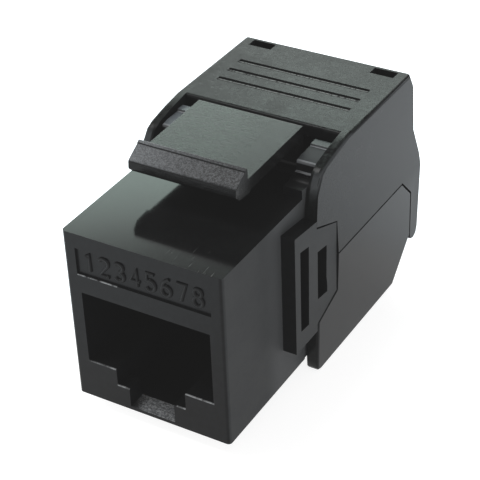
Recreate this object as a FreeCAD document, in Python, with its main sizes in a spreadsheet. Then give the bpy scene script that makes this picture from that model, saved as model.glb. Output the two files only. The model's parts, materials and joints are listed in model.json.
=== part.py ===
import FreeCAD, Part
import Sketcher
import os, math

# Toolless keystone jack: a front housing with an eight-contact modular port,
# a sprung top latch, a contact insert on a small circuit board, two blocks of
# insulation-displacement terminals, and two hinged wiring covers that close
# over them round the cable.
#
# Design frame, millimetres: X to the right seen from the port, Y from the
# front face towards the cable, Z up from the underside of the front housing.
# The bodies are then moved so that the origin is the middle of the footprint,
# on the surface that the jack stands on.

doc = FreeCAD.newDocument("keystone_jack")
sheet = doc.addObject("Spreadsheet::Sheet", "Sizes")

ROWS = [
    # overall
    ("overall_len", 31.85, "front face to the back of the upper cover"),
    ("foot_drop", 1.20, "front housing underside above the resting surface"),
    # front housing
    ("face_wide", 14.50, "front face width"),
    ("face_high", 16.00, "front face height"),
    ("block_deep", 12.40, "depth of the front block"),
    ("core_wide", 14.40, "width of the core inside the covers"),
    ("core_end", 18.60, "back of the core"),
    ("edge_round", 0.34, "rounding of the front block's upright edges"),
    ("port_wide", 11.82, "port opening width"),
    ("port_top", 10.47, "port opening top"),
    ("port_sill", 3.70, "port opening sill"),
    ("key_wide", 6.50, "first step of the tab slot"),
    ("key_sill", 2.13, "bottom of the first step"),
    ("tab_wide", 4.24, "second step of the tab slot"),
    ("tab_sill", 0.32, "bottom of the second step"),
    ("wall_front", 1.60, "front wall thickness round the port"),
    ("bay_top", 12.10, "ceiling of the contact bay"),
    ("bay_end", 13.20, "where the bay widens for the board"),
    ("rear_bay_wide", 12.80, "board bay width"),
    ("rear_bay_low", 2.00, "board bay floor"),
    ("rear_bay_top", 14.00, "board bay ceiling"),
    ("panel_wide", 12.26, "label recess width"),
    ("panel_low", 12.20, "label recess bottom"),
    ("panel_high", 14.66, "label recess top"),
    ("panel_deep", 0.20, "label recess depth"),
    # side plates and tongues
    ("side_half", 8.66, "half width of the covers at the seam"),
    ("seam_level", 9.10, "height of the seam at mid depth"),
    ("draft_up", 0.0475, "side draft above the seam, per mm"),
    ("draft_low", 0.0245, "side draft below the seam, per mm"),
    ("plate_half", 8.50, "half width over the side plates"),
    ("plate_front", 8.76, "front face of the side plates"),
    ("plate_back", 12.40, "back of the wide part of the plates"),
    ("plate_low", 3.40, "plate underside"),
    ("plate_high", 14.66, "plate top at the front"),
    ("plate_fall", 14.22, "plate top at the back"),
    ("tongue_back", 15.80, "back of the tongue"),
    ("tongue_a", 13.50, "tongue top edge, front"),
    ("tongue_b", 12.22, "tongue top edge, back"),
    ("tongue_c", 5.45, "tongue lower edge, back"),
    ("tongue_d", 4.16, "tongue lower edge, front"),
    ("slot_floor", 7.45, "half width left under the side slots"),
    ("seam_gap", 0.10, "gap between covers and tongue"),
    # hinges
    ("hinge_deep", 13.90, "distance of both cover hinges from the face"),
    ("hinge_upper", 16.10, "upper hinge height"),
    ("hinge_lower", 0.85, "lower hinge height"),
    ("pin_rad", 0.80, "hinge pin radius"),
    ("pin_hole", 0.86, "hinge hole radius"),
    ("pin_reach", 7.90, "pin end from the middle"),
    ("hole_reach", 8.00, "hinge hole end from the middle"),
    # latch
    ("latch_wide", 9.80, "latch width"),
    ("latch_top", 19.70, "latch plate top at the back"),
    ("latch_root_deep", 16.40, "latch root from the face"),
    ("latch_root_up", 16.45, "latch root height"),
    ("root_rad", 0.60, "latch root radius"),
    ("root_seat", 0.65, "root seat radius"),
    ("bar_top", 20.63, "top of the latch bar"),
    # covers
    ("cover_in", 14.70, "clear width inside the covers"),
    ("cover_top", 18.83, "top of the upper cover"),
    ("lid_thick", 1.00, "thickness of the top plate"),
    ("lid_front", 18.60, "front edge of the top plate"),
    ("lid_back", 30.24, "back of the top plate"),
    ("grip_pitch", 1.785, "pitch of the grip grooves"),
    ("grip_first", 22.34, "first grip groove from the face"),
    ("grip_half", 6.34, "half length of a grip groove"),
    ("grip_wide", 0.56, "groove width"),
    ("grip_deep", 0.09, "groove depth"),
    ("window_in", 4.90, "inner edge of the rear windows"),
    ("window_out", 7.12, "outer edge of the rear windows"),
    ("window_front", 28.95, "front edge of the rear windows"),
    ("window_back", 29.98, "back edge of the rear windows"),
    ("cable_rad", 3.30, "cable entry radius"),
    # insides
    ("contact_pitch", 1.02, "contact pitch"),
    ("contact_wide", 0.45, "contact strip width"),
    ("contact_thick", 0.30, "contact strip thickness"),
    ("contact_run", 11.90, "top of the contact run"),
    ("board_low", 8.50, "board underside"),
    ("board_thick", 1.20, "board thickness"),
    ("board_wide", 12.40, "board width"),
    ("board_front", 13.20, "board front edge"),
    ("block_back", 26.60, "back of the terminal blocks and the board"),
    ("block_wide", 13.80, "terminal block width"),
    ("block_tall", 5.30, "terminal block height"),
    ("idc_pitch", 3.30, "terminal pitch"),
    ("idc_wide", 2.20, "terminal width"),
    ("idc_thick", 0.40, "terminal thickness"),
    ("idc_row_a", 20.40, "first terminal row"),
    ("idc_row_b", 23.20, "second terminal row"),
    ("idc_tall", 4.80, "terminal height over the board"),
    ("channel_wide", 1.10, "wire channel width"),
    ("channel_deep", 3.00, "wire channel depth"),
    ("guide_thick", 1.50, "cable guide thickness"),
]


class Dim:
    """A size with its value and the spreadsheet expression that gives it."""

    def __init__(self, v, t):
        self.v = float(v)
        self.t = t

    @staticmethod
    def of(o):
        return o if isinstance(o, Dim) else Dim(o, repr(float(o)))

    def _op(self, o, sign, flip=False):
        a, b = Dim.of(self), Dim.of(o)
        if flip:
            a, b = b, a
        v = {"+": a.v + b.v, "-": a.v - b.v, "*": a.v * b.v, "/": a.v / b.v if b.v else 0.0}[sign]
        return Dim(v, "(%s %s %s)" % (a.t, sign, b.t))

    def __add__(self, o): return self._op(o, "+")
    def __radd__(self, o): return self._op(o, "+", True)
    def __sub__(self, o): return self._op(o, "-")
    def __rsub__(self, o): return self._op(o, "-", True)
    def __mul__(self, o): return self._op(o, "*")
    def __rmul__(self, o): return self._op(o, "*", True)
    def __truediv__(self, o): return self._op(o, "/")
    def __neg__(self): return Dim(0, "0") - self


class Sizes:
    pass


S = Sizes()
for i, (name, value, note) in enumerate(ROWS, start=1):
    sheet.set("A%d" % i, name)
    sheet.set("B%d" % i, repr(float(value)))
    sheet.set("C%d" % i, note)
    sheet.setAlias("B%d" % i, name)
    setattr(S, name, Dim(value, "Sizes." + name))
doc.recompute()

BIG = 60.0
PLANES = {"XY": "XY_Plane", "XZ": "XZ_Plane", "YZ": "YZ_Plane"}


class Piece:
    """One moulded or stamped piece: a PartDesign body built feature by feature."""

    def __init__(self, label):
        self.body = doc.addObject("PartDesign::Body", "Body_" + label)
        self.body.Label = label
        self.n = 0

    def _plane(self, role):
        for f in self.body.Origin.OriginFeatures:
            if f.Role == PLANES[role]:
                return f
        raise RuntimeError("no plane " + role)

    def sketch(self, plane, loops, offset=None):
        """loops: lists of (a, b) corners, or ("circle", a, b, r)."""
        self.n += 1
        sk = self.body.newObject("Sketcher::SketchObject", "%s_s%d" % (self.body.Name, self.n))
        sk.AttachmentSupport = (self._plane(plane), [""])
        sk.MapMode = "FlatFace"
        if offset is not None:
            sk.setExpression("AttachmentOffset.Base.z", Dim.of(offset).t)
        for loop in loops:
            if loop[0] == "circle":
                a, b, r = Dim.of(loop[1]), Dim.of(loop[2]), Dim.of(loop[3])
                g = sk.addGeometry(Part.Circle(FreeCAD.Vector(a.v, b.v, 0), FreeCAD.Vector(0, 0, 1), r.v), False)
                self._fix(sk, g, 3, a, b)
                c = sk.addConstraint(Sketcher.Constraint("Radius", g, r.v))
                if not isinstance(loop[3], float):
                    sk.setExpression("Constraints[%d]" % c, r.t)
                continue
            pts = [(Dim.of(a), Dim.of(b)) for a, b in loop]
            ids = []
            for k in range(len(pts)):
                p, q = pts[k], pts[(k + 1) % len(pts)]
                ids.append(sk.addGeometry(Part.LineSegment(
                    FreeCAD.Vector(p[0].v, p[1].v, 0), FreeCAD.Vector(q[0].v, q[1].v, 0)), False))
            for k in range(len(ids)):
                sk.addConstraint(Sketcher.Constraint("Coincident", ids[k], 2, ids[(k + 1) % len(ids)], 1))
            for k in range(len(ids)):
                self._fix(sk, ids[k], 1, pts[k][0], pts[k][1])
        return sk

    def _fix(self, sk, g, pos, a, b):
        for axis, d, line in (("DistanceX", a, -2), ("DistanceY", b, -1)):
            if abs(d.v) < 1e-9:
                sk.addConstraint(Sketcher.Constraint("PointOnObject", g, pos, line))
            else:
                c = sk.addConstraint(Sketcher.Constraint(axis, -1, 1, g, pos, d.v))
                if "Sizes." in d.t:
                    sk.setExpression("Constraints[%d]" % c, d.t)

    def _done(self, f, grow, label=""):
        doc.recompute()
        tip = [o for o in self.body.Group if o.isDerivedFrom("PartDesign::Feature")]
        before = tip[-2].Shape.Volume if len(tip) > 1 else 0.0
        after = f.Shape.Volume
        ok = after > before + 1e-6 if grow else after < before - 1e-6
        return ok

    def pad(self, sk, length, sym=False, flip=False):
        f = self.body.newObject("PartDesign::Pad", "%s_pad%d" % (self.body.Name, self.n))
        f.Profile = sk
        f.SideType = "Symmetric" if sym else "One side"
        f.Reversed = flip
        f.setExpression("Length", Dim.of(length).t)
        if not self._done(f, True):
            raise RuntimeError("pad adds nothing: " + f.Name)
        return f

    def pocket(self, sk, length, sym=False, flip=False):
        f = self.body.newObject("PartDesign::Pocket", "%s_cut%d" % (self.body.Name, self.n))
        f.Profile = sk
        f.SideType = "Symmetric" if sym else "One side"
        f.Reversed = flip
        f.setExpression("Length", Dim.of(length).t)
        if not self._done(f, False):
            raise RuntimeError("pocket cuts nothing: " + f.Name)
        return f

    def fillet(self, pick, radius):
        last = self.body.Tip
        names = ["Edge%d" % (i + 1) for i, e in enumerate(last.Shape.Edges) if pick(e)]
        if not names:
            raise RuntimeError("no edges for a fillet on " + self.body.Label)
        f = self.body.newObject("PartDesign::Fillet", "%s_round%d" % (self.body.Name, self.n))
        self.n += 1
        f.Base = (last, names)
        f.setExpression("Radius", Dim.of(radius).t)
        doc.recompute()
        if "Invalid" in f.State or "Error" in f.State or not f.Shape.isValid():
            raise RuntimeError("fillet fails on %s (%d edges)" % (self.body.Label, len(names)))
        return f

    def seat(self, x=None):
        """Move the finished piece to the part's own frame."""
        if x is not None:
            self.body.setExpression("Placement.Base.x", Dim.of(x).t)
        self.body.setExpression("Placement.Base.y", "-Sizes.overall_len / 2")
        self.body.setExpression("Placement.Base.z", "Sizes.foot_drop")
        doc.recompute()


def rect(a0, a1, b0, b1):
    return [(a0, b0), (a1, b0), (a1, b1), (a0, b1)]


def along(e, axis, tol=1e-6):
    """True for a straight edge parallel to an axis."""
    if e.Curve.TypeId != "Part::GeomLine":
        return False
    d = e.tangentAt(e.FirstParameter)
    return abs(abs(d[axis]) - 1) < tol


def mid(e):
    return e.valueAt((e.FirstParameter + e.LastParameter) / 2)


def near(v, w, tol=0.02):
    return abs(v - w) < tol


def draft_wedges(S, low, high):
    """Material outside the drafted side planes, both sides, as XZ loops."""
    wide = 12.0
    h_up = S.side_half - (high - S.seam_level) * S.draft_up
    h_lo = S.side_half - (S.seam_level - low) * S.draft_low
    out = []
    for sgn in (1.0, -1.0):
        out.append([(h_lo * sgn, Dim.of(low)), (Dim.of(wide * sgn), Dim.of(low)),
                    (Dim.of(wide * sgn), Dim.of(high)), (h_up * sgn, Dim.of(high)),
                    (S.side_half * sgn, S.seam_level)])
    return out


# ------------------------------------------------------------------ front housing
fh = Piece("front_housing")
fw2 = S.face_wide / 2
fh.pad(fh.sketch("XZ", [rect(-fw2, fw2, 0.0, S.face_high)]), S.block_deep, flip=True)
fh.fillet(lambda e: along(e, 2) and near(mid(e).y, 0) and near(abs(mid(e).x), fw2.v), S.edge_round)
cw2 = S.core_wide / 2
# core that runs back inside the covers
fh.pad(fh.sketch("XZ", [rect(-cw2, cw2, 0.05, S.face_high)], offset=-(S.block_deep - 0.4)), S.core_end - S.block_deep + 0.4, flip=True)
# side plates with their tongues
fh.pad(fh.sketch("YZ", [[(S.plate_front, S.plate_low), (S.plate_back, S.plate_low), (S.plate_back, S.tongue_d),
                         (S.tongue_back, S.tongue_c), (S.tongue_back, S.tongue_b), (S.plate_back, S.tongue_a),
                         (S.plate_back, S.plate_fall), (S.plate_front, S.plate_high)]]), S.plate_half * 2, sym=True)
# stepped hinge lugs beside the latch
fh.pad(fh.sketch("YZ", [[(12.42, 15.6), (12.42, 16.70), (14.30, 16.70), (14.30, 17.02), (14.62, 17.02),
                         (14.70, 17.88), (15.45, 18.00), (17.08, 18.00), (17.08, 18.17), (17.88, 18.17),
                         (17.88, 15.6)]]), S.core_wide, sym=True)
# hinge pins, both sides
fh.pad(fh.sketch("YZ", [("circle", S.hinge_deep, S.hinge_upper, S.pin_rad),
                        ("circle", S.hinge_deep, S.hinge_lower, S.pin_rad)]), S.pin_reach * 2, sym=True)
# open deck between the lugs, where the latch moves
fh.pocket(fh.sketch("YZ", [rect(S.block_deep + 0.02, S.core_end + 0.5, S.face_high, 19.5)]), 11.0, sym=True)
# seat for the latch root
fh.pad(fh.sketch("YZ", [rect(15.30, 17.50, 15.6, S.latch_root_up)]), 10.6, sym=True)
fh.pocket(fh.sketch("YZ", [("circle", S.latch_root_deep, S.latch_root_up, S.root_seat)]), 10.2, sym=True)
# fixed lug under the front block
fh.pad(fh.sketch("YZ", [[(6.30, 0.30), (6.30, -0.25), (7.25, -S.foot_drop), (8.20, -S.foot_drop), (8.20, 0.30)]]), 10.0, sym=True)
# port opening and tab slot through the front wall
pw2, kw2, tw2 = S.port_wide / 2, S.key_wide / 2, S.tab_wide / 2
fh.pocket(fh.sketch("XZ", [[(-pw2, S.port_top), (-pw2, S.port_sill), (-kw2, S.port_sill), (-kw2, S.key_sill),
                            (-tw2, S.key_sill), (-tw2, S.tab_sill), (tw2, S.tab_sill), (tw2, S.key_sill),
                            (kw2, S.key_sill), (kw2, S.port_sill), (pw2, S.port_sill), (pw2, S.port_top)]]),
          S.wall_front, flip=False)
# contact bay behind the front wall, the tab cavity, and the board bay
fh.pocket(fh.sketch("XZ", [rect(-pw2, pw2, S.port_sill, S.bay_top)], offset=-S.wall_front), 20.0)
fh.pocket(fh.sketch("XZ", [rect(-kw2, kw2, S.tab_sill, S.port_sill + 0.2)], offset=-S.wall_front), 9.4)
rb2 = S.rear_bay_wide / 2
fh.pocket(fh.sketch("XZ", [rect(-rb2, rb2, S.rear_bay_low, S.rear_bay_top)], offset=-S.bay_end), 20.0)
# label recess
lw2 = S.panel_wide / 2
fh.pocket(fh.sketch("XZ", [rect(-lw2, lw2, S.panel_low, S.panel_high)]), S.panel_deep)
# slots in the side plates
slots = [[(9.60, 5.20), (10.92, 5.06), (11.04, 12.68), (9.62, 12.92)],
         [(12.50, 6.60), (14.14, 6.38), (14.12, 7.20), (14.00, 7.90), (14.06, 11.02), (12.50, 11.25)]]
fh.pocket(fh.sketch("YZ", slots, offset=S.slot_floor), 4.0, flip=True)
fh.pocket(fh.sketch("YZ", slots, offset=-S.slot_floor), 4.0)
fh.seat()

# ------------------------------------------------------------------ latch
la = Piece("keystone_latch")
la.pad(la.sketch("YZ", [[(8.12, 19.52), (8.06, S.bar_top), (7.70, 20.46), (7.66, 20.34), (6.27, 19.52),
                         (6.22, 18.82), (6.75, 18.32), (8.30, 18.20), (8.46, 18.40), (15.55, 18.50),
                         (15.90, 18.15), (15.90, S.latch_root_up), (16.90, S.latch_root_up),
                         (17.00, 18.60), (17.00, S.latch_top)]]), S.latch_wide, sym=True)
la.pad(la.sketch("YZ", [("circle", S.latch_root_deep, S.latch_root_up, S.root_rad)]), S.latch_wide, sym=True)
la.fillet(lambda e: along(e, 0) and ((near(mid(e).y, 8.06) and near(mid(e).z, 20.63)) or
                                    (near(mid(e).y, 6.22) and near(mid(e).z, 18.82)) or
                                    (near(mid(e).y, 17.0) and near(mid(e).z, 19.70))), 0.14)
la.fillet(lambda e: along(e, 0) and near(mid(e).y, 6.27) and near(mid(e).z, 19.52), 0.28)
la.seat()

# ------------------------------------------------------------------ upper cover
uc = Piece("upper_cover")
g = S.seam_gap
uc.pad(uc.sketch("YZ", [[(S.plate_back + 0.10, S.tongue_a + g), (S.tongue_back + g, S.tongue_b + g * 0.7),
                         (S.tongue_back + g, S.seam_level + 0.11), (28.12, S.seam_level + 0.05), (30.12, 7.13),
                         (30.42, 2.15), (30.62, 1.76), (31.15, 1.62), (31.65, 1.86), (S.overall_len, 2.5),
                         (S.overall_len, 9.35), (31.62, 10.45), (30.56, 13.3), (30.70, 17.95), (S.lid_back, S.cover_top),
                         (18.60, S.cover_top), (16.50, 18.56), (14.55, 18.16), (13.75, 17.78), (13.28, 17.12),
                         (12.98, 16.2), (12.78, 15.2)]]), 18.0, sym=True)
uc.pocket(uc.sketch("XZ", draft_wedges(S, 0.0, 20.0)), 80.0, sym=True)
# top edges, back edges and the cheeks' upper edges
uc.fillet(lambda e: abs(mid(e).x) > 7.9 and abs(mid(e).x) < 8.85 and mid(e).z > 17.0 and abs(e.tangentAt(e.FirstParameter).x) < 0.3
          and abs(e.tangentAt(e.FirstParameter).z) < 0.95, 0.34)
uc.pocket(uc.sketch("YZ", [[(10.0, 0.5), (10.0, 20.0), (S.lid_front, 20.0), (S.lid_front, S.cover_top - S.lid_thick),
                            (29.45, S.cover_top - S.lid_thick), (29.45, 13.2), (30.46, 10.3), (30.46, 0.5)]]),
          S.cover_in, sym=True)
# rounded front edge of the top plate
lf, lt = S.lid_front, S.cover_top
uc.pocket(uc.sketch("YZ", [[(lf - 0.05, lt - 0.30), (lf, lt - 0.30), (lf + 0.03, lt - 0.18), (lf + 0.09, lt - 0.09),
                            (lf + 0.18, lt - 0.03), (lf + 0.32, lt), (lf + 0.32, lt + 0.2), (lf - 0.05, lt + 0.2)]]),
          S.cover_in, sym=True)
# cable entry, open at the bottom
cr = S.cable_rad
uc.pocket(uc.sketch("XZ", [rect(-cr, cr, 0.5, S.seam_level)], offset=-29.0), 4.0)
uc.pocket(uc.sketch("XZ", [("circle", 0.0, S.seam_level, cr)], offset=-29.0), 4.0)
# hinge holes, blind from inside
uc.pocket(uc.sketch("YZ", [("circle", S.hinge_deep, S.hinge_upper, S.pin_hole)]), S.hole_reach * 2, sym=True)
# grip grooves
gy = [S.grip_first + S.grip_pitch * float(k) for k in range(3)]
half, gw = S.grip_half - S.grip_wide / 2, S.grip_wide / 2
uc.pocket(uc.sketch("XY", [rect(-half, half, y - gw, y + gw) for y in gy], offset=S.cover_top), S.grip_deep)
for sx in (1.0, -1.0):
    uc.pocket(uc.sketch("XY", [("circle", half * sx, y, gw) for y in gy], offset=S.cover_top), S.grip_deep)
# rear windows
uc.pocket(uc.sketch("XY", [rect(S.window_in, S.window_out, S.window_front, S.window_back),
                           rect(-S.window_out, -S.window_in, S.window_front, S.window_back)], offset=S.cover_top), 1.7)
# ribs that press the wires home
ribs_a = (-1.5, 0.5)
ribs_b = (-0.5, 1.5)


def rib_loops(first, second):
    out = []
    for k in first:
        out.append(rect(S.idc_pitch * k - 0.4, S.idc_pitch * k + 0.4, S.idc_row_a + 0.6, S.idc_row_a + 2.2))
    for k in second:
        out.append(rect(S.idc_pitch * k - 0.4, S.idc_pitch * k + 0.4, S.idc_row_b + 0.6, S.idc_row_b + 2.2))
    return out


uc.pad(uc.sketch("XY", rib_loops(ribs_a, ribs_b), offset=S.cover_top - S.lid_thick + 0.1), 4.5, flip=True)
uc.seat()

# ------------------------------------------------------------------ lower cover
lc = Piece("lower_cover")
lc.pad(lc.sketch("YZ", [[(S.plate_back + 0.10, S.tongue_d - 0.10), (S.tongue_back + g, S.tongue_c - g * 0.7),
                         (S.tongue_back + g, S.seam_level - 0.01), (28.02, S.seam_level - 0.07), (29.98, 7.05),
                         (30.28, 2.25), (27.10, -S.foot_drop), (13.15, -S.foot_drop), (12.80, -1.08),
                         (12.58, -0.78), (12.53, 0.0), (12.50, 2.6)]]), 18.0, sym=True)
lc.pocket(lc.sketch("XZ", draft_wedges(S, -4.0, 14.0)), 80.0, sym=True)
lc.fillet(lambda e: abs(mid(e).x) > 7.9 and mid(e).z < 2.2 and abs(e.tangentAt(e.FirstParameter).x) < 0.3, 0.24)
lc.pocket(lc.sketch("YZ", [[(10.0, -3.0), (14.50, -3.0), (14.50, -0.2), (26.75, -0.2), (29.10, 2.35), (29.10, 12.0), (10.0, 12.0)]]),
          S.cover_in, sym=True)
lc.pocket(lc.sketch("XZ", [("circle", 0.0, S.seam_level, cr)], offset=-28.5), 3.0)
lc.pocket(lc.sketch("YZ", [("circle", S.hinge_deep, S.hinge_lower, S.pin_hole)]), S.hole_reach * 2, sym=True)
lc.pad(lc.sketch("XY", rib_loops(ribs_b, ribs_a), offset=-0.3), 5.1)
lc.seat()

# ------------------------------------------------------------------ contact insert
cc = Piece("contact_carrier")
run_low = S.contact_run - S.contact_thick
board_top = S.board_low + S.board_thick
cc.pad(cc.sketch("YZ", [[(2.75, run_low), (2.75, 11.25), (3.60, 10.80), (11.20, 10.80), (11.20, 3.80), (13.20, 3.80),
                         (13.20, board_top), (17.60, board_top), (17.60, run_low)]]), 11.60, sym=True)
cx = [S.contact_pitch * (k - 3.5) for k in range(8)]
# comb that guides the free ends
cc.pocket(cc.sketch("XZ", [rect(x - 0.33, x + 0.33, 5.6, 10.4) for x in cx], offset=-11.0), 1.4)
# passages for the legs
leg_a, leg_b = 14.60, 16.40
cc.pocket(cc.sketch("XY", [rect(x - 0.30, x + 0.30, (leg_a if k % 2 == 0 else leg_b) - 0.40, (leg_a if k % 2 == 0 else leg_b) + 0.10)
                           for k, x in enumerate(cx)], offset=S.contact_run + 0.1), 4.0)
cc.seat()

for k in range(8):
    leg = leg_a if k % 2 == 0 else leg_b
    c = Piece("contact_spring_%d" % (k + 1))
    c.pad(c.sketch("YZ", [[(leg, 7.90), (leg, S.contact_run - 0.18), (leg - 0.18, S.contact_run), (2.28, S.contact_run), (1.98, 11.76), (1.86, 11.45),
                           (1.92, 11.06), (2.12, 10.84), (10.72, 6.72), (10.85, 6.99), (2.36, 11.06), (2.20, 11.22),
                           (2.16, 11.40), (2.24, 11.54), (2.40, run_low), (leg - S.contact_thick, run_low),
                           (leg - S.contact_thick, 7.90)]]), S.contact_wide, sym=True)
    c.seat(cx[k])

# ------------------------------------------------------------------ board
bd = Piece("circuit_board")
bw2 = S.board_wide / 2
bd.pad(bd.sketch("XY", [rect(-bw2, bw2, S.board_front, S.block_back)], offset=S.board_low), S.board_thick)
bd.pocket(bd.sketch("XY", [("circle", x, (leg_a if k % 2 == 0 else leg_b) - 0.15, 0.34) for k, x in enumerate(cx)],
                    offset=S.board_low - 0.5), 3.0, flip=True)
upper_at = [(-1.5, S.idc_row_a), (-0.5, S.idc_row_b), (0.5, S.idc_row_a), (1.5, S.idc_row_b)]
lower_at = [(-1.5, S.idc_row_b), (-0.5, S.idc_row_a), (0.5, S.idc_row_b), (1.5, S.idc_row_a)]
bd.pocket(bd.sketch("XY", [("circle", S.idc_pitch * k, y, 0.42) for k, y in upper_at + lower_at],
                    offset=S.board_low - 0.5), 3.0, flip=True)
bd.seat()

# ------------------------------------------------------------------ terminal blocks
kw = S.block_wide / 2
for label, up, at in (("upper_terminal_block", 1.0, upper_at), ("lower_terminal_block", -1.0, lower_at)):
    b = Piece(label)
    base = board_top if up > 0 else S.board_low
    b.pad(b.sketch("XY", [rect(-kw, kw, S.core_end, S.block_back)], offset=base), S.block_tall, flip=(up < 0))
    far = base + S.block_tall * up
    # wire channels, open at the far side and at both ends
    b.pocket(b.sketch("XY", [rect(S.idc_pitch * k - S.channel_wide / 2, S.idc_pitch * k + S.channel_wide / 2,
                                  S.core_end - 0.5, S.block_back + 0.5) for k in (-1.5, -0.5, 0.5, 1.5)], offset=far),
             S.channel_deep, flip=(up < 0))
    # slots that hold the terminals, down to the board
    b.pocket(b.sketch("XY", [rect(S.idc_pitch * k - S.idc_wide / 2 - 0.05, S.idc_pitch * k + S.idc_wide / 2 + 0.05,
                                  y - S.idc_thick / 2 - 0.04, y + S.idc_thick / 2 + 0.04) for k, y in at], offset=far),
             12.0, flip=(up < 0))
    b.seat()

for n, (k, y) in enumerate(upper_at + lower_at, start=1):
    up = 1.0 if n <= 4 else -1.0
    t = Piece("idc_terminal_%d" % n)
    base = board_top if up > 0 else S.board_low
    tip = base + S.idc_tall * up
    w2 = S.idc_wide / 2
    # a forked blade with lead-in flanks over a narrow tail that goes through the board
    prof = [(w2, base), (w2, tip - 0.5 * up), (0.55, tip), (0.17, tip - 0.75 * up), (0.17, base + 1.7 * up),
            (-0.17, base + 1.7 * up), (-0.17, tip - 0.75 * up), (-0.55, tip), (-w2, tip - 0.5 * up), (-w2, base),
            (-0.28, base), (-0.28, base - S.board_thick * up), (0.28, base - S.board_thick * up), (0.28, base)]
    t.pad(t.sketch("XZ", [prof], offset=-y), S.idc_thick, sym=True)
    t.seat(S.idc_pitch * k)

# ------------------------------------------------------------------ cable guide
cg = Piece("cable_guide")
gl, gh = S.seam_level - 5.6, S.seam_level + 5.6
cg.pad(cg.sketch("XZ", [rect(-6.70, 6.70, gl, gh)], offset=-S.block_back), S.guide_thick, flip=True)
cg.pocket(cg.sketch("XZ", [("circle", 0.0, S.seam_level, 3.05)], offset=-S.block_back + 1.0), 4.0)
cg.pocket(cg.sketch("XZ", [rect(S.idc_pitch * k - S.channel_wide / 2, S.idc_pitch * k + S.channel_wide / 2, gh - 2.5, gh + 1.0)
                           for k in (-1.5, -0.5, 0.5, 1.5)] +
                    [rect(S.idc_pitch * k - S.channel_wide / 2, S.idc_pitch * k + S.channel_wide / 2, gl - 1.0, gl + 2.5)
                     for k in (-1.5, -0.5, 0.5, 1.5)], offset=-S.block_back + 1.0), 4.0)
cg.seat()

# ------------------------------------------------------------------ check and write
doc.recompute()
bad = []
for o in doc.Objects:
    if "Invalid" in o.State or "Error" in o.State:
        bad.append("%s is %s" % (o.Name, o.State))
bodies = [o for o in doc.Objects if o.isDerivedFrom("PartDesign::Body")]
for b in bodies:
    if b.Shape.isNull() or not b.Shape.isValid():
        bad.append(b.Label + " has no valid shape")
    elif len(b.Shape.Solids) != 1:
        bad.append("%s has %d solids" % (b.Label, len(b.Shape.Solids)))
if bad:
    raise RuntimeError("; ".join(bad))
os.makedirs("parts", exist_ok=True)
for b in bodies:
    bb = b.Shape.BoundBox
    print("%-22s %7.1f mm3  X %6.2f..%6.2f  Y %6.2f..%6.2f  Z %6.2f..%6.2f" % (
        b.Label, b.Shape.Volume, bb.XMin, bb.XMax, bb.YMin, bb.YMax, bb.ZMin, bb.ZMax))
    b.Shape.exportStep(os.path.join("parts", b.Label + ".step"))
print(len(bodies), "pieces")
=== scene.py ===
import json
import math

import bmesh
import bpy
from mathutils import Matrix, Vector

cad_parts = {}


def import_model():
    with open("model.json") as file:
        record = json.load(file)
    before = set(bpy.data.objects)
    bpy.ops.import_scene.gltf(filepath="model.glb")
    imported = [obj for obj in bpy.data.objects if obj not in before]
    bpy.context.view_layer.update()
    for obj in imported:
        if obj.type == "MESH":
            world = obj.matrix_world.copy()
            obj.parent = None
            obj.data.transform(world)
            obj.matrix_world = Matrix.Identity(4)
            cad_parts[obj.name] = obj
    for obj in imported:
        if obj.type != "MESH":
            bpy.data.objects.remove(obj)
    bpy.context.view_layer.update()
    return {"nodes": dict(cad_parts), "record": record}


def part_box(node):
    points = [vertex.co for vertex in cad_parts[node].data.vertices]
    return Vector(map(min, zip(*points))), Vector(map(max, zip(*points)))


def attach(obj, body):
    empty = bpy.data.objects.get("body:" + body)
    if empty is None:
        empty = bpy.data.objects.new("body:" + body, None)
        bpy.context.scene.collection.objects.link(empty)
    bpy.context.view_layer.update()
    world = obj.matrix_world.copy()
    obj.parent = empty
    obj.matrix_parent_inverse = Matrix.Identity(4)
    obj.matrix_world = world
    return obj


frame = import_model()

nodes = frame["nodes"]
MM = 0.001


# ---------------------------------------------------------------- camera
def make_camera():
    az, el, roll = math.radians(31.642), math.radians(33.885), math.radians(-2.406)
    target = Vector((0.318, -1.925, 10.212)) * MM
    back = Vector((math.sin(az) * math.cos(el), -math.cos(az) * math.cos(el), math.sin(el)))
    right = (-back).cross(Vector((0, 0, 1))).normalized()
    up = right.cross(-back)
    x = math.cos(roll) * right + math.sin(roll) * up
    y = -math.sin(roll) * right + math.cos(roll) * up
    data = bpy.data.cameras.new("camera")
    data.sensor_fit = "HORIZONTAL"
    data.sensor_width = 36.0
    data.lens = 116.06
    data.clip_start = 0.01
    data.clip_end = 20.0
    cam = bpy.data.objects.new("camera", data)
    bpy.context.scene.collection.objects.link(cam)
    m = Matrix((x, y, back)).transposed().to_4x4()
    m.translation = target + back * (129.95 * MM)
    cam.matrix_world = m
    bpy.context.scene.camera = cam
    return cam


camera = make_camera()


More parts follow.
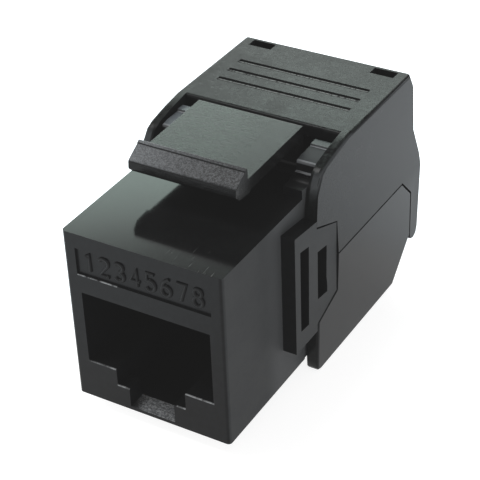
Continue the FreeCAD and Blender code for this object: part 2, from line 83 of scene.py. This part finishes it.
# ---------------------------------------------------------------- node helpers
class Tree:
    """A node tree, with short calls for the nodes used here."""

    def __init__(self, nt, coords):
        self.nt = nt
        self.nt.nodes.clear()
        self.co = self.nt.nodes.new("ShaderNodeTexCoord").outputs[coords]
        self._xyz = None

    def put(self, socket, value):
        if isinstance(value, bpy.types.NodeSocket):
            self.nt.links.new(value, socket)
        elif value is not None:
            socket.default_value = value

    def math(self, op, a, b=None, c=None, clamp=False):
        n = self.nt.nodes.new("ShaderNodeMath")
        n.operation = op
        n.use_clamp = clamp
        self.put(n.inputs[0], a)
        self.put(n.inputs[1], b)
        if c is not None:
            self.put(n.inputs[2], c)
        return n.outputs[0]

    def add(self, a, b): return self.math("ADD", a, b)
    def sub(self, a, b): return self.math("SUBTRACT", a, b)
    def mul(self, a, b): return self.math("MULTIPLY", a, b)

    def ramp(self, x, lo, hi, a=0.0, b=1.0, smooth=True):
        n = self.nt.nodes.new("ShaderNodeMapRange")
        n.interpolation_type = "SMOOTHSTEP" if smooth else "LINEAR"
        n.clamp = True
        self.put(n.inputs[0], x)
        for i, v in enumerate((lo, hi, a, b), start=1):
            self.put(n.inputs[i], v)
        return n.outputs[0]

    def xyz(self):
        if self._xyz is None:
            n = self.nt.nodes.new("ShaderNodeSeparateXYZ")
            self.put(n.inputs[0], self.co)
            self._xyz = n.outputs
        return self._xyz

    def normal_axis(self, i):
        n = self.nt.nodes.new("ShaderNodeSeparateXYZ")
        tc = self.nt.nodes.new("ShaderNodeTexCoord")
        self.put(n.inputs[0], tc.outputs["Normal"])
        return n.outputs[i]

    def stretch(self, sx, sy, sz, vec=None):
        n = self.nt.nodes.new("ShaderNodeMapping")
        self.put(n.inputs[0], vec or self.co)
        n.inputs["Scale"].default_value = (sx, sy, sz)
        return n.outputs[0]

    def noise(self, scale, detail=3.0, rough=0.5, vec=None, distort=0.0):
        n = self.nt.nodes.new("ShaderNodeTexNoise")
        self.put(n.inputs["Vector"], vec or self.co)
        n.inputs["Scale"].default_value = scale
        n.inputs["Detail"].default_value = detail
        n.inputs["Roughness"].default_value = rough
        n.inputs["Distortion"].default_value = distort
        return n.outputs[0]

    def voronoi(self, scale, feature="F1", vec=None, randomness=1.0, out="Distance"):
        n = self.nt.nodes.new("ShaderNodeTexVoronoi")
        n.feature = feature
        self.put(n.inputs["Vector"], vec or self.co)
        n.inputs["Scale"].default_value = scale
        n.inputs["Randomness"].default_value = randomness
        return n.outputs[out]

    def mix(self, f, a, b):
        n = self.nt.nodes.new("ShaderNodeMix")
        n.data_type = "RGBA"
        self.put(n.inputs[0], f)
        for i, v in ((6, a), (7, b)):
            self.put(n.inputs[i], (*v, 1.0) if isinstance(v, tuple) else v)
        return n.outputs[2]

    def bump(self, height, strength, distance, normal=None):
        n = self.nt.nodes.new("ShaderNodeBump")
        n.inputs["Strength"].default_value = strength if not isinstance(strength, bpy.types.NodeSocket) else 1.0
        if isinstance(strength, bpy.types.NodeSocket):
            self.put(n.inputs["Strength"], strength)
        n.inputs["Distance"].default_value = distance
        self.put(n.inputs["Height"], height)
        if normal is not None:
            self.put(n.inputs["Normal"], normal)
        return n.outputs[0]

    def box(self, lo, hi, soft=0.05):
        """1 inside a box given in millimetres, falling to 0 over soft millimetres."""
        out = None
        for i in range(3):
            for v, sgn in ((lo[i], 1), (hi[i], -1)):
                if v is None:
                    continue
                s = self.ramp(self.xyz()[i], (v - sgn * soft) * MM, v * MM)
                out = s if out is None else self.mul(out, s)
        return out


class Mat(Tree):
    """A material with one Principled shader."""

    def __init__(self, name):
        self.mat = bpy.data.materials.new(name)
        self.mat.use_nodes = True
        super().__init__(self.mat.node_tree, "Object")
        self.out = self.nt.nodes.new("ShaderNodeOutputMaterial")
        self.bsdf = self.nt.nodes.new("ShaderNodeBsdfPrincipled")
        self.nt.links.new(self.bsdf.outputs[0], self.out.inputs[0])

    def set(self, **values):
        names = {"color": "Base Color", "rough": "Roughness", "metal": "Metallic", "ior": "IOR",
                 "spec": "Specular IOR Level", "normal": "Normal", "coat": "Coat Weight",
                 "coat_rough": "Coat Roughness", "sheen": "Sheen Weight", "aniso": "Anisotropic"}
        for k, v in values.items():
            if k == "color" and isinstance(v, tuple):
                v = (*v, 1.0)
            self.put(self.bsdf.inputs[names[k]], v)


# ---------------------------------------------------------------- materials
def plastic(name, base, rough, spec, grain=9000.0, grain_depth=0.003, grain_on=0.4, cloud=0.05):
    """Black moulded plastic: fine grain, and slow changes of gloss and shade."""
    m = Mat(name)
    m.g1 = m.noise(grain, 4.0, 0.6)
    m.g2 = m.noise(grain * 0.33, 3.0, 0.5)
    m.slow = m.noise(420.0, 3.0, 0.55)
    m.mid = m.noise(1900.0, 4.0, 0.6)
    height = m.add(m.mul(m.g1, 0.6), m.mul(m.g2, 0.4))
    m.n1 = m.bump(height, grain_on, grain_depth * MM)
    r = m.add(m.mul(m.sub(m.slow, 0.5), cloud), m.mul(m.sub(m.mid, 0.5), cloud * 0.6))
    m.rough = m.add(r, rough)
    m.base = m.mix(m.ramp(m.mid, 0.3, 0.7), tuple(c * 0.7 for c in base), tuple(c * 1.3 for c in base))
    m.set(color=m.base, rough=m.rough, normal=m.n1, ior=1.5, spec=spec)
    return m


def housing_material():
    m = plastic("housing_plastic", (0.0030, 0.0032, 0.0036), 0.105, 0.106, grain_depth=0.0012, cloud=0.03)
    x, y, z = m.xyz()
    # the outer top is the glossiest face; the front is duller, and the outer sides are satin
    up = m.ramp(m.normal_axis(2), 0.6, 0.9)
    nx = m.math("ABSOLUTE", m.normal_axis(0))
    flank = m.mul(m.ramp(nx, 0.6, 0.9), m.ramp(m.math("ABSOLUTE", x), 7.0 * MM, 7.1 * MM))
    rough = m.add(m.rough, m.mul(m.sub(1.0, up), 0.20))
    rough = m.add(rough, m.mul(flank, 0.26))
    cloudy = m.ramp(m.add(m.mul(m.slow, 0.6), m.mul(m.mid, 0.4)), 0.35, 0.65)
    # painted light: the top gets a slightly paler colour than the front, and the outer sides a much paler one, so
    # they read lighter
    col = m.mix(up, m.base, m.mix(cloudy, (0.0036, 0.0038, 0.0040), (0.0052, 0.0055, 0.0056)))
    side = m.mix(cloudy, (0.020, 0.0215, 0.0230), (0.026, 0.0275, 0.0285))
    # painted light: a paler strip on each outer side just in front of the side plate, so the side does not read
    # darker beside the plate
    painted_light_strip = m.mul(m.ramp(y, -10.3 * MM, -7.5 * MM), m.ramp(m.math("ABSOLUTE", x), 7.6 * MM, 7.4 * MM))
    side = m.mix(painted_light_strip, side, (0.046, 0.048, 0.050))
    col = m.mix(flank, col, side)
    # rough-textured floor of the tab slot; its front strip gets a painted pool of light, with painted shade over its
    # left part
    patch = m.mul(m.box((-2.3, None, None), (2.3, -14.2, 1.9), 0.05), up)
    shaded = m.ramp(m.add(x, m.mul(m.add(y, 15.9 * MM), 0.5)), -1.9 * MM, -0.9 * MM, 0.12, 1.0)
    tex = m.noise(4000.0, 5.0, 0.75)
    tex2 = m.noise(9000.0, 3.0, 0.6)
    both = m.add(m.mul(tex, 0.6), m.mul(tex2, 0.4))
    rough = m.add(rough, m.mul(patch, 0.40))
    lit = m.mix(m.ramp(both, 0.43, 0.62), (0.060, 0.063, 0.067), (0.27, 0.28, 0.29))
    col = m.mix(m.mul(patch, shaded), col, lit)
    # painted highlights: broken bright lines standing for edge glints on the sills, the first step and the lower lip
    # of the recess
    painted_glint_line = None
    for lo, hi in (((-5.95, None, 4.83), (-3.30, -15.84, 4.97)), ((3.30, None, 4.83), (5.95, -15.84, 4.97)),
                   ((-3.25, None, 3.26), (-2.10, -15.84, 3.39)), ((2.40, None, 3.26), (3.20, -15.84, 3.38)),
                   ((-6.10, None, 13.33), (-2.40, -15.86, 13.44))):
        b = m.box(lo, hi, 0.03)
        painted_glint_line = b if painted_glint_line is None else m.math("MAXIMUM", painted_glint_line, b)
    broken = m.noise(1.0, 3.0, 0.6, vec=m.stretch(1300.0, 300.0, 300.0))
    painted_glint_line = m.mul(painted_glint_line, m.ramp(broken, 0.36, 0.60))
    col = m.mix(painted_glint_line, col, (0.20, 0.205, 0.21))
    # hinge lugs beside the latch: duller treads given painted light, paler on the left lug than on the right, and
    # painted highlights along the tread edges and the step
    lugs = m.mul(m.ramp(m.math("ABSOLUTE", x), 5.40 * MM, 5.46 * MM), m.ramp(y, -1.80 * MM, -1.70 * MM))
    tread = m.mul(m.mul(lugs, m.ramp(z, 18.85 * MM, 18.95 * MM)), up)
    left = m.ramp(x, 2.0 * MM, -2.0 * MM)
    lower = m.ramp(y, 1.17 * MM, 1.13 * MM)
    rough = m.add(rough, m.mul(tread, m.add(0.16, m.mul(lower, 0.26))))
    col = m.mix(tread, col, m.mix(left, (0.030, 0.033, 0.035), (0.096, 0.108, 0.118)))
    painted_edge_glint = m.mul(m.ramp(y, 0.99 * MM, 1.02 * MM), m.ramp(y, 1.17 * MM, 1.13 * MM))
    painted_edge_glint = m.math("MAXIMUM", painted_edge_glint, m.mul(m.mul(m.ramp(y, -1.28 * MM, -1.22 * MM), m.ramp(y, -1.02 * MM, -1.08 * MM)), 0.6))
    painted_edge_glint = m.mul(m.mul(painted_edge_glint, lugs), m.ramp(z, 18.80 * MM, 18.90 * MM))
    painted_step_glint = m.mul(m.mul(lugs, m.box((None, -1.66, 18.10), (None, -1.30, 18.40), 0.04)), m.ramp(m.normal_axis(2), 0.3, 0.6))
    col = m.mix(m.math("MAXIMUM", painted_edge_glint, m.mul(painted_step_glint, 0.6)), col, (0.24, 0.25, 0.26))
    # dull ends of the hinge pins and the deck round them
    pins = m.mul(m.ramp(m.math("ABSOLUTE", x), 5.40 * MM, 5.46 * MM), m.box((None, -3.4, 16.5), (None, -1.75, None), 0.1))
    rough = m.add(rough, m.mul(pins, 0.30))
    # a few dust specks on the outer top, most near its front right corner
    sp = m.voronoi(1300.0)
    sep = m.nt.nodes.new("ShaderNodeSeparateXYZ")
    m.put(sep.inputs[0], m.voronoi(1300.0, out="Color"))
    top = m.mul(up, m.ramp(z, 16.9 * MM, 17.0 * MM))
    corner = m.mul(m.ramp(y, -12.6 * MM, -15.0 * MM), m.ramp(x, -2.0 * MM, 5.0 * MM))
    chance = m.add(m.mul(corner, 0.14), 0.015)
    few = m.math("GREATER_THAN", m.add(sep.outputs[0], chance), 1.0)
    speck = m.mul(m.mul(m.ramp(sp, 0.13, 0.05), few), top)
    # faint short scratches at the same corner
    scr = m.noise(1.0, 2.0, 0.5, vec=m.stretch(5200.0, 500.0, 500.0))
    scr = m.mul(m.mul(m.ramp(scr, 0.66, 0.74), corner), top)
    col = m.mix(m.math("MAXIMUM", speck, m.mul(scr, 0.35)), col, (0.16, 0.165, 0.16))
    rough = m.add(rough, m.mul(speck, 0.4))
    # very fine drag marks on the top
    drag = m.noise(1.0, 3.0, 0.6, vec=m.stretch(9000.0, 1500.0, 1500.0))
    rough = m.add(rough, m.mul(m.mul(m.sub(drag, 0.5), top), 0.05))
    n = m.bump(both, m.mul(patch, 0.9), 0.05 * MM, m.n1)
    m.set(color=col, rough=rough, normal=n)
    return m.mat


def cover_material():
    m = plastic("cover_plastic", (0.0034, 0.0035, 0.0037), 0.24, 0.066, grain_depth=0.002, cloud=0.06)
    x, y, z = m.xyz()
    up = m.ramp(m.normal_axis(2), 0.6, 0.9)
    # a rubbed, darker smudge on the top behind the front edge
    d = m.add(m.sub(x, 0.64 * MM), m.mul(m.sub(y, 4.3 * MM), 0.05))
    streak = m.mul(m.ramp(m.mul(d, d), (1.3 * MM) ** 2, 0.0), m.mul(m.ramp(y, 7.6 * MM, 3.6 * MM), up))
    patchy = m.noise(700.0, 3.0, 0.6)
    mott = m.noise(2600.0, 4.0, 0.65)
    fine = m.noise(6800.0, 3.0, 0.6)
    # the left and the back of the top are duller and carry less of the pale mottling, so they read darker
    away = m.math("MAXIMUM", m.ramp(x, 2.0 * MM, -8.5 * MM), m.mul(m.ramp(y, 7.0 * MM, 15.5 * MM), 0.6))
    rough = m.add(m.rough, m.mul(m.mul(m.sub(mott, 0.5), 0.42), up))
    rough = m.add(rough, m.mul(m.mul(m.sub(patchy, 0.5), 0.26), up))
    rough = m.add(rough, m.mul(m.mul(away, up), 0.10))
    rough = m.add(rough, m.mul(streak, 0.07))
    grime = m.add(m.mul(patchy, 0.35), m.add(m.mul(mott, 0.4), m.mul(fine, 0.25)))
    dust = m.mul(m.ramp(grime, 0.40, 0.62), m.add(m.mul(up, 0.80), 0.20))
    dust = m.mul(dust, m.sub(1.0, m.mul(away, 0.75)))
    col = m.mix(dust, m.base, (0.0190, 0.0232, 0.0215))
    # painted light: the outer sides are given a paler colour than the front faces, so they read lighter
    flank = m.ramp(m.math("ABSOLUTE", m.normal_axis(0)), 0.6, 0.9)
    col = m.mix(flank, col, m.mix(m.ramp(grime, 0.40, 0.62), (0.0110, 0.0116, 0.0124), (0.0160, 0.0168, 0.0176)))
    # painted light: the cheeks' front slopes get a paler band so they read lighter, with a painted highlight line
    # along their outer edge
    slope = m.mul(m.mul(m.ramp(m.normal_axis(2), 0.15, 0.40), m.sub(1.0, up)), m.ramp(y, 3.6 * MM, 3.0 * MM))
    ax = m.math("ABSOLUTE", x)
    painted_slope_band = m.mul(m.ramp(ax, 7.50 * MM, 7.62 * MM), m.ramp(ax, 8.28 * MM, 8.16 * MM))
    col = m.mix(m.mul(slope, painted_slope_band), col, (0.040, 0.043, 0.045))
    painted_edge_line = m.mul(m.ramp(ax, 8.36 * MM, 8.40 * MM), m.ramp(ax, 8.50 * MM, 8.46 * MM))
    col = m.mix(m.mul(m.mul(slope, painted_edge_line), m.ramp(mott, 0.35, 0.60)), col, (0.14, 0.145, 0.15))
    # grip grooves: dull walls with painted shade (the pale mottling taken out), and a painted highlight, a broken
    # bright line along each floor
    for k in range(3):
        gy = m.math("ABSOLUTE", m.sub(y, (6.415 + 1.785 * k) * MM))
        inside = m.mul(m.mul(m.ramp(gy, 0.31 * MM, 0.27 * MM), m.ramp(ax, 6.38 * MM, 6.32 * MM)), m.ramp(z, 19.5 * MM, 19.7 * MM))
        dash = m.noise(1.0, 3.0, 0.7, vec=m.stretch(5600.0, 800.0, 800.0))
        glint = m.mul(m.mul(m.ramp(gy, 0.100 * MM, 0.060 * MM), inside), m.ramp(dash, 0.33, 0.55))
        rough = m.add(rough, m.mul(inside, 0.55))
        col = m.mix(inside, col, (0.0035, 0.0037, 0.0037))
        col = m.mix(glint, col, (0.18, 0.19, 0.185))
    n = m.bump(m.add(m.mul(mott, 0.5), m.mul(fine, 0.5)), m.add(m.mul(up, 0.75), 0.25), 0.007 * MM, m.n1)
    m.set(color=col, rough=rough, normal=n)
    return m.mat


def latch_material():
    m = plastic("latch_plastic", (0.0036, 0.0038, 0.0039), 0.22, 0.118, grain_depth=0.002, cloud=0.05)
    x, y, z = m.xyz()
    up = m.ramp(m.normal_axis(2), 0.6, 0.9)
    # fine drawn lines across the plate, and soft patches
    lines = m.noise(1.0, 4.0, 0.62, vec=m.stretch(1500.0, 8000.0, 8000.0))
    patchy = m.noise(1300.0, 4.0, 0.6)
    bar = m.box((None, None, None), (None, -7.80, None), 0.02)
    bar = m.mul(bar, m.ramp(m.normal_axis(2), 0.45, 0.75))
    tex1 = m.noise(9500.0, 4.0, 0.72)
    tex2 = m.noise(4600.0, 3.0, 0.6)
    tex = m.add(m.mul(tex1, 0.65), m.mul(tex2, 0.35))
    n = m.bump(lines, 0.85, 0.008 * MM, m.n1)
    n = m.bump(tex, m.mul(bar, 0.7), 0.03 * MM, n)
    rough = m.add(m.add(m.rough, m.mul(m.sub(patchy, 0.5), 0.10)), m.mul(bar, 0.14))
    rough = m.add(rough, m.mul(m.sub(lines, 0.5), 0.26))
    rough = m.sub(rough, m.mul(m.mul(m.ramp(y, -9.2 * MM, -9.4 * MM), m.ramp(m.normal_axis(2), 0.4, 0.2)), 0.10))
    # the pale greenish tone follows the plate's streaks and patches; its fading out towards the right is painted
    # light
    streak_tone_lit_left = m.add(m.mul(lines, 0.6), m.mul(patchy, 0.4))
    streak_tone_lit_left = m.mul(m.ramp(streak_tone_lit_left, 0.40, 0.62), m.ramp(x, 5.0 * MM, -1.0 * MM, 0.0, 1.0))
    col = m.mix(m.mul(streak_tone_lit_left, up), m.base, (0.0225, 0.0345, 0.0270))
    # the bar's slope is speckled; its lightening to the left is painted light
    painted_left_light = m.ramp(x, -5.0 * MM, 4.2 * MM, 1.0, 0.0, smooth=False)
    painted_left_light = m.mul(painted_left_light, painted_left_light)
    pale = m.mix(painted_left_light, (0.066, 0.069, 0.073), (0.140, 0.148, 0.156))
    deep = m.mix(painted_left_light, (0.004, 0.0042, 0.0045), (0.066, 0.070, 0.075))
    col = m.mix(bar, col, m.mix(m.ramp(tex, 0.41, 0.61), deep, pale))
    m.set(color=col, rough=rough, normal=n)
    return m.mat


def inner_material(name, base, rough):
    return plastic(name, base, rough, 0.3, grain_depth=0.003).mat


def gold_material():
    m = Mat("contact_gold")
    fine = m.noise(1.0, 4.0, 0.6, vec=m.stretch(22000.0, 1500.0, 6000.0))
    slow = m.noise(700.0, 3.0, 0.5)
    m.set(color=m.mix(m.ramp(slow, 0.3, 0.7), (0.80, 0.56, 0.20), (0.92, 0.70, 0.32)), metal=1.0,
          rough=m.add(m.mul(fine, 0.12), 0.14), normal=m.bump(fine, 0.25, 0.002 * MM))
    return m.mat


def tin_material():
    m = Mat("terminal_tin")
    fine = m.noise(1.0, 4.0, 0.6, vec=m.stretch(3000.0, 3000.0, 20000.0))
    slow = m.noise(900.0, 3.0, 0.5)
    m.set(color=m.mix(m.ramp(slow, 0.3, 0.7), (0.55, 0.55, 0.53), (0.74, 0.74, 0.72)), metal=1.0,
          rough=m.add(m.mul(fine, 0.16), 0.24), normal=m.bump(fine, 0.3, 0.003 * MM))
    return m.mat


def board_material():
    m = Mat("board_laminate")
    x, y, z = m.xyz()
    weave = m.noise(1.0, 2.0, 0.5, vec=m.stretch(6000.0, 6000.0, 6000.0))
    lane = m.math("PINGPONG", m.add(x, m.mul(m.math("SINE", m.mul(y, 900.0)), 0.0004)), 0.55 * MM)
    trace = m.ramp(lane, 0.26 * MM, 0.32 * MM)
    edge = m.math("ABSOLUTE", x)
    trace = m.mul(trace, m.ramp(edge, 5.8 * MM, 5.6 * MM))
    col = m.mix(trace, (0.012, 0.085, 0.040), (0.022, 0.150, 0.070))
    m.set(color=col, rough=m.add(m.mul(weave, 0.12), 0.24), normal=m.bump(m.add(trace, m.mul(weave, 0.2)), 0.5, 0.03 * MM))
    return m.mat


finish = {
    "housing_plastic": housing_material(),
    "cover_plastic": cover_material(),
    "latch_plastic": latch_material(),
    "carrier_plastic": inner_material("carrier_plastic", (0.010, 0.010, 0.0105), 0.34),
    "block_plastic": inner_material("block_plastic", (0.013, 0.013, 0.0135), 0.36),
    "guide_plastic": inner_material("guide_plastic", (0.013, 0.013, 0.0135), 0.36),
    "board_laminate": board_material(),
    "contact_gold": gold_material(),
    "terminal_tin": tin_material(),
}
slot_of = {s["node"]: s["material_slot"] for s in frame["record"]["subparts"]}


# ---------------------------------------------------------------- CAD nodes
def soften(obj, width, angle=40.0, segments=2):
    """Small moulded radii on a CAD node's edges, as modifiers, with even shading."""
    w = obj.modifiers.new("weld", "WELD")
    w.merge_threshold = 0.0005 * MM
    d = obj.modifiers.new("planar", "DECIMATE")
    d.decimate_type = "DISSOLVE"
    d.angle_limit = math.radians(0.5)
    b = obj.modifiers.new("bevel", "BEVEL")
    b.width = width * MM
    b.segments = segments
    b.limit_method = "ANGLE"
    b.angle_limit = math.radians(angle)
    b.miter_outer = "MITER_ARC"
    b.use_clamp_overlap = True
    b.harden_normals = False
    n = obj.modifiers.new("normals", "WEIGHTED_NORMAL")
    n.mode = "FACE_AREA"
    n.weight = 100
    n.keep_sharp = False


radii = {"front_housing": 0.06, "keystone_latch": 0.04, "upper_cover": 0.066, "lower_cover": 0.07,
         "contact_carrier": 0.04, "circuit_board": 0.02, "upper_terminal_block": 0.05,
         "lower_terminal_block": 0.05, "cable_guide": 0.06}
for name, obj in nodes.items():
    obj.data.materials.clear()
    obj.data.materials.append(finish[slot_of[name]])
    soften(obj, radii.get(name, 0.03))


# ---------------------------------------------------------------- raised contact numbers
def arc(cx, cy, r, a, b, n=14, ry=None):
    pts = []
    for k in range(n + 1):
        t = math.radians(a + (b - a) * k / n)
        pts.append((cx + r * math.cos(t), cy + (ry or r) * math.sin(t)))
    return pts


GLYPHS = {
    1: [[(-0.22, 0.50), (0.08, 0.80), (0.08, -0.80)]],
    2: [arc(0.0, 0.38, 0.40, 165, -35, ry=0.42) + [(-0.42, -0.80), (0.44, -0.80)]],
    3: [arc(-0.02, 0.42, 0.36, 150, -78, ry=0.38) + arc(-0.02, -0.38, 0.42, 78, -150)],
    4: [[(0.20, -0.80), (0.20, 0.80), (-0.44, -0.34), (0.44, -0.34)]],
    5: [[(0.36, 0.80), (-0.30, 0.80), (-0.34, 0.08)] + arc(-0.02, -0.32, 0.43, 118, -150, ry=0.48)],
    6: [[(0.30, 0.78)] + arc(0.42, -0.34, 0.82, 112, 172, ry=1.08) + arc(0.0, -0.36, 0.41, 180, 540, 22, ry=0.44)],
    7: [[(-0.42, 0.80), (0.42, 0.80), (-0.12, -0.80)]],
    8: [arc(0.0, 0.42, 0.34, 90, 450, 20, ry=0.38), arc(0.0, -0.38, 0.41, 90, 450, 22, ry=0.44)],
}


def numbers():
    """Contact numbers 1 to 8, moulded in thin rounded strokes on the floor of the label recess."""
    lo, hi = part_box("front_housing")
    floor_y = lo.y + 0.20 * MM
    made = []
    for k in range(8):
        c = bpy.data.curves.new("contact_number_%d" % (k + 1), "CURVE")
        c.dimensions = "3D"
        c.bevel_depth = 0.162 * MM
        c.bevel_resolution = 2
        c.use_fill_caps = True
        for pts in GLYPHS[k + 1]:
            closed = math.dist(pts[0], pts[-1]) < 1e-6
            pts = pts[:-1] if closed else pts
            sp = c.splines.new("POLY")
            sp.points.add(len(pts) - 1)
            for p, (u, v) in zip(sp.points, pts):
                p.co = (u * MM, v * MM, 0.0, 1.0)
            sp.use_cyclic_u = closed
        o = bpy.data.objects.new("contact_number_%d" % (k + 1), c)
        bpy.context.scene.collection.objects.link(o)
        o.matrix_world = Matrix.Translation((1.42 * MM * (k - 3.5), floor_y, 14.74 * MM)) @ Matrix.Rotation(math.radians(90), 4, "X")
        made.append(o)
    bpy.context.view_layer.update()
    dg = bpy.context.evaluated_depsgraph_get()
    for o in made:
        me = bpy.data.meshes.new_from_object(o.evaluated_get(dg))
        me.transform(o.matrix_world)
        name = o.name
        bpy.data.objects.remove(o)
        p = bpy.data.objects.new(name, me)
        bpy.context.scene.collection.objects.link(p)
        me.materials.clear()
        me.materials.append(finish["housing_plastic"])
        for f in me.polygons:
            f.use_smooth = True
        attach(p, "housing")


numbers()


# ---------------------------------------------------------------- floor and light
def floor():
    """A white floor that glows, with a painted soft shadow: dimmer close to the object, most of all at its front
    right, and fading far away.
    """
    bm = bmesh.new()
    bmesh.ops.create_grid(bm, x_segments=2, y_segments=2, size=0.9)
    me = bpy.data.meshes.new("floor")
    bm.to_mesh(me)
    bm.free()
    o = bpy.data.objects.new("floor", me)
    bpy.context.scene.collection.objects.link(o)
    o.location.z = -0.02 * MM
    m = Mat("floor_paper")
    x, y, z = m.xyz()

    # distance outside the object's footprint
    d = m.math("MAXIMUM", m.sub(m.math("ABSOLUTE", x), 8.5 * MM), m.sub(m.math("ABSOLUTE", y), 16.0 * MM))
    open_side = m.ramp(d, 0.0, 18.0 * MM, 0.88, 1.58, smooth=False)
    # the object's own soft shade lies on its right, and ends towards the back
    shade = m.math("MAXIMUM", m.ramp(y, 6.0 * MM, 40.0 * MM, 0.86, 1.95), m.ramp(d, 2.0 * MM, 14.0 * MM, 0.86, 1.02))
    right = m.ramp(x, -9.0 * MM, 3.0 * MM)
    near = m.add(m.mul(open_side, m.sub(1.0, right)), m.mul(shade, right))
    a, b = m.sub(x, -8.0 * MM), m.sub(y, 12.0 * MM)
    far = m.ramp(m.math("SQRT", m.add(m.mul(a, a), m.mul(b, b))), 68.0 * MM, 150.0 * MM, 1.0, 0.42)
    fine = m.noise(900.0, 3.0, 0.5)
    m.set(color=m.mix(fine, (0.30, 0.30, 0.30), (0.32, 0.32, 0.32)), rough=0.9, spec=0.1)
    m.put(m.bsdf.inputs["Emission Color"], m.mix(m.ramp(near, 0.95, 1.25), (1.0, 1.0, 1.0), (0.90, 0.96, 1.0)))
    m.put(m.bsdf.inputs["Emission Strength"], m.mul(near, far))
    me.materials.append(m.mat)


def area(name, pos, look, size, radiance, color=(1, 1, 1), size_y=None):
    d = bpy.data.lights.new(name, "AREA")
    d.shape = "RECTANGLE"
    d.size = size
    d.size_y = size_y or size
    d.energy = radiance * math.pi * d.size * d.size_y
    d.color = color
    o = bpy.data.objects.new(name, d)
    bpy.context.scene.collection.objects.link(o)
    o.location = pos
    v = (Vector(look) - Vector(pos)).normalized()
    o.rotation_euler = v.to_track_quat("-Z", "Y").to_euler()
    o.visible_camera = False
    return o


def world():
    """Soft studio surroundings: a bright low screen behind on the left, dimmer low screens
    round the rest except behind on the right, and a dim ceiling."""
    w = bpy.data.worlds.new("studio")
    bpy.context.scene.world = w
    w.use_nodes = True
    t = Tree(w.node_tree, "Generated")
    out = t.nt.nodes.new("ShaderNodeOutputWorld")
    bg = t.nt.nodes.new("ShaderNodeBackground")
    t.nt.links.new(bg.outputs[0], out.inputs[0])
    n = t.nt.nodes.new("ShaderNodeVectorMath")
    n.operation = "NORMALIZE"
    t.put(n.inputs[0], t.co)
    t.co = n.outputs[0]
    x, y, z = t.xyz()
    flat = t.math("SQRT", t.add(t.add(t.mul(x, x), t.mul(y, y)), 1e-6))

    def toward(az):
        a = math.radians(az)
        return t.math("DIVIDE", t.add(t.mul(x, math.cos(a)), t.mul(y, math.sin(a))), flat)

    low = t.ramp(z, 0.02, 0.12)
    band = t.mul(t.ramp(z, 0.41, 0.52, 0.22, 1.0), t.ramp(z, SCREEN_LO, SCREEN_HI, 1.0, 0.0))
    screen = t.mul(t.ramp(toward(124.0), 0.76, 0.90), t.mul(low, band))
    ring = t.mul(t.ramp(toward(55.0), 0.80, 0.55), t.mul(low, t.ramp(z, 0.46, 0.58, 1.0, 0.0)))
    k = t.add(t.add(AMBIENT, t.mul(ring, RING)), t.mul(screen, SCREEN))
    t.put(bg.inputs[0], t.mix(screen, (1.0, 1.0, 1.0), (0.80, 1.0, 0.92)))
    t.put(bg.inputs[1], k)


def black_lift():
    """The darkest tones sit a little above black, as in the printed picture of such a part."""
    vs = bpy.context.scene.view_settings
    vs.view_transform = "Standard"
    vs.look = "None"
    vs.use_curve_mapping = True
    c = vs.curve_mapping
    curve = c.curves[3]
    curve.points[0].location = (0.0, BLACK)
    curve.points[1].location = (1.0, 1.0)
    c.update()


AMBIENT, RING, SCREEN, SCREEN_LO, SCREEN_HI = 0.38, 1.3, 8.1, 0.522, 0.570
BLACK = 0.0103
floor()
world()
# a soft lamp above, in front of and to the left of the object
area("overhead", (-0.37, -0.12, 0.76), (0, 0, 0.01), 0.26, 16.0)
black_lift()
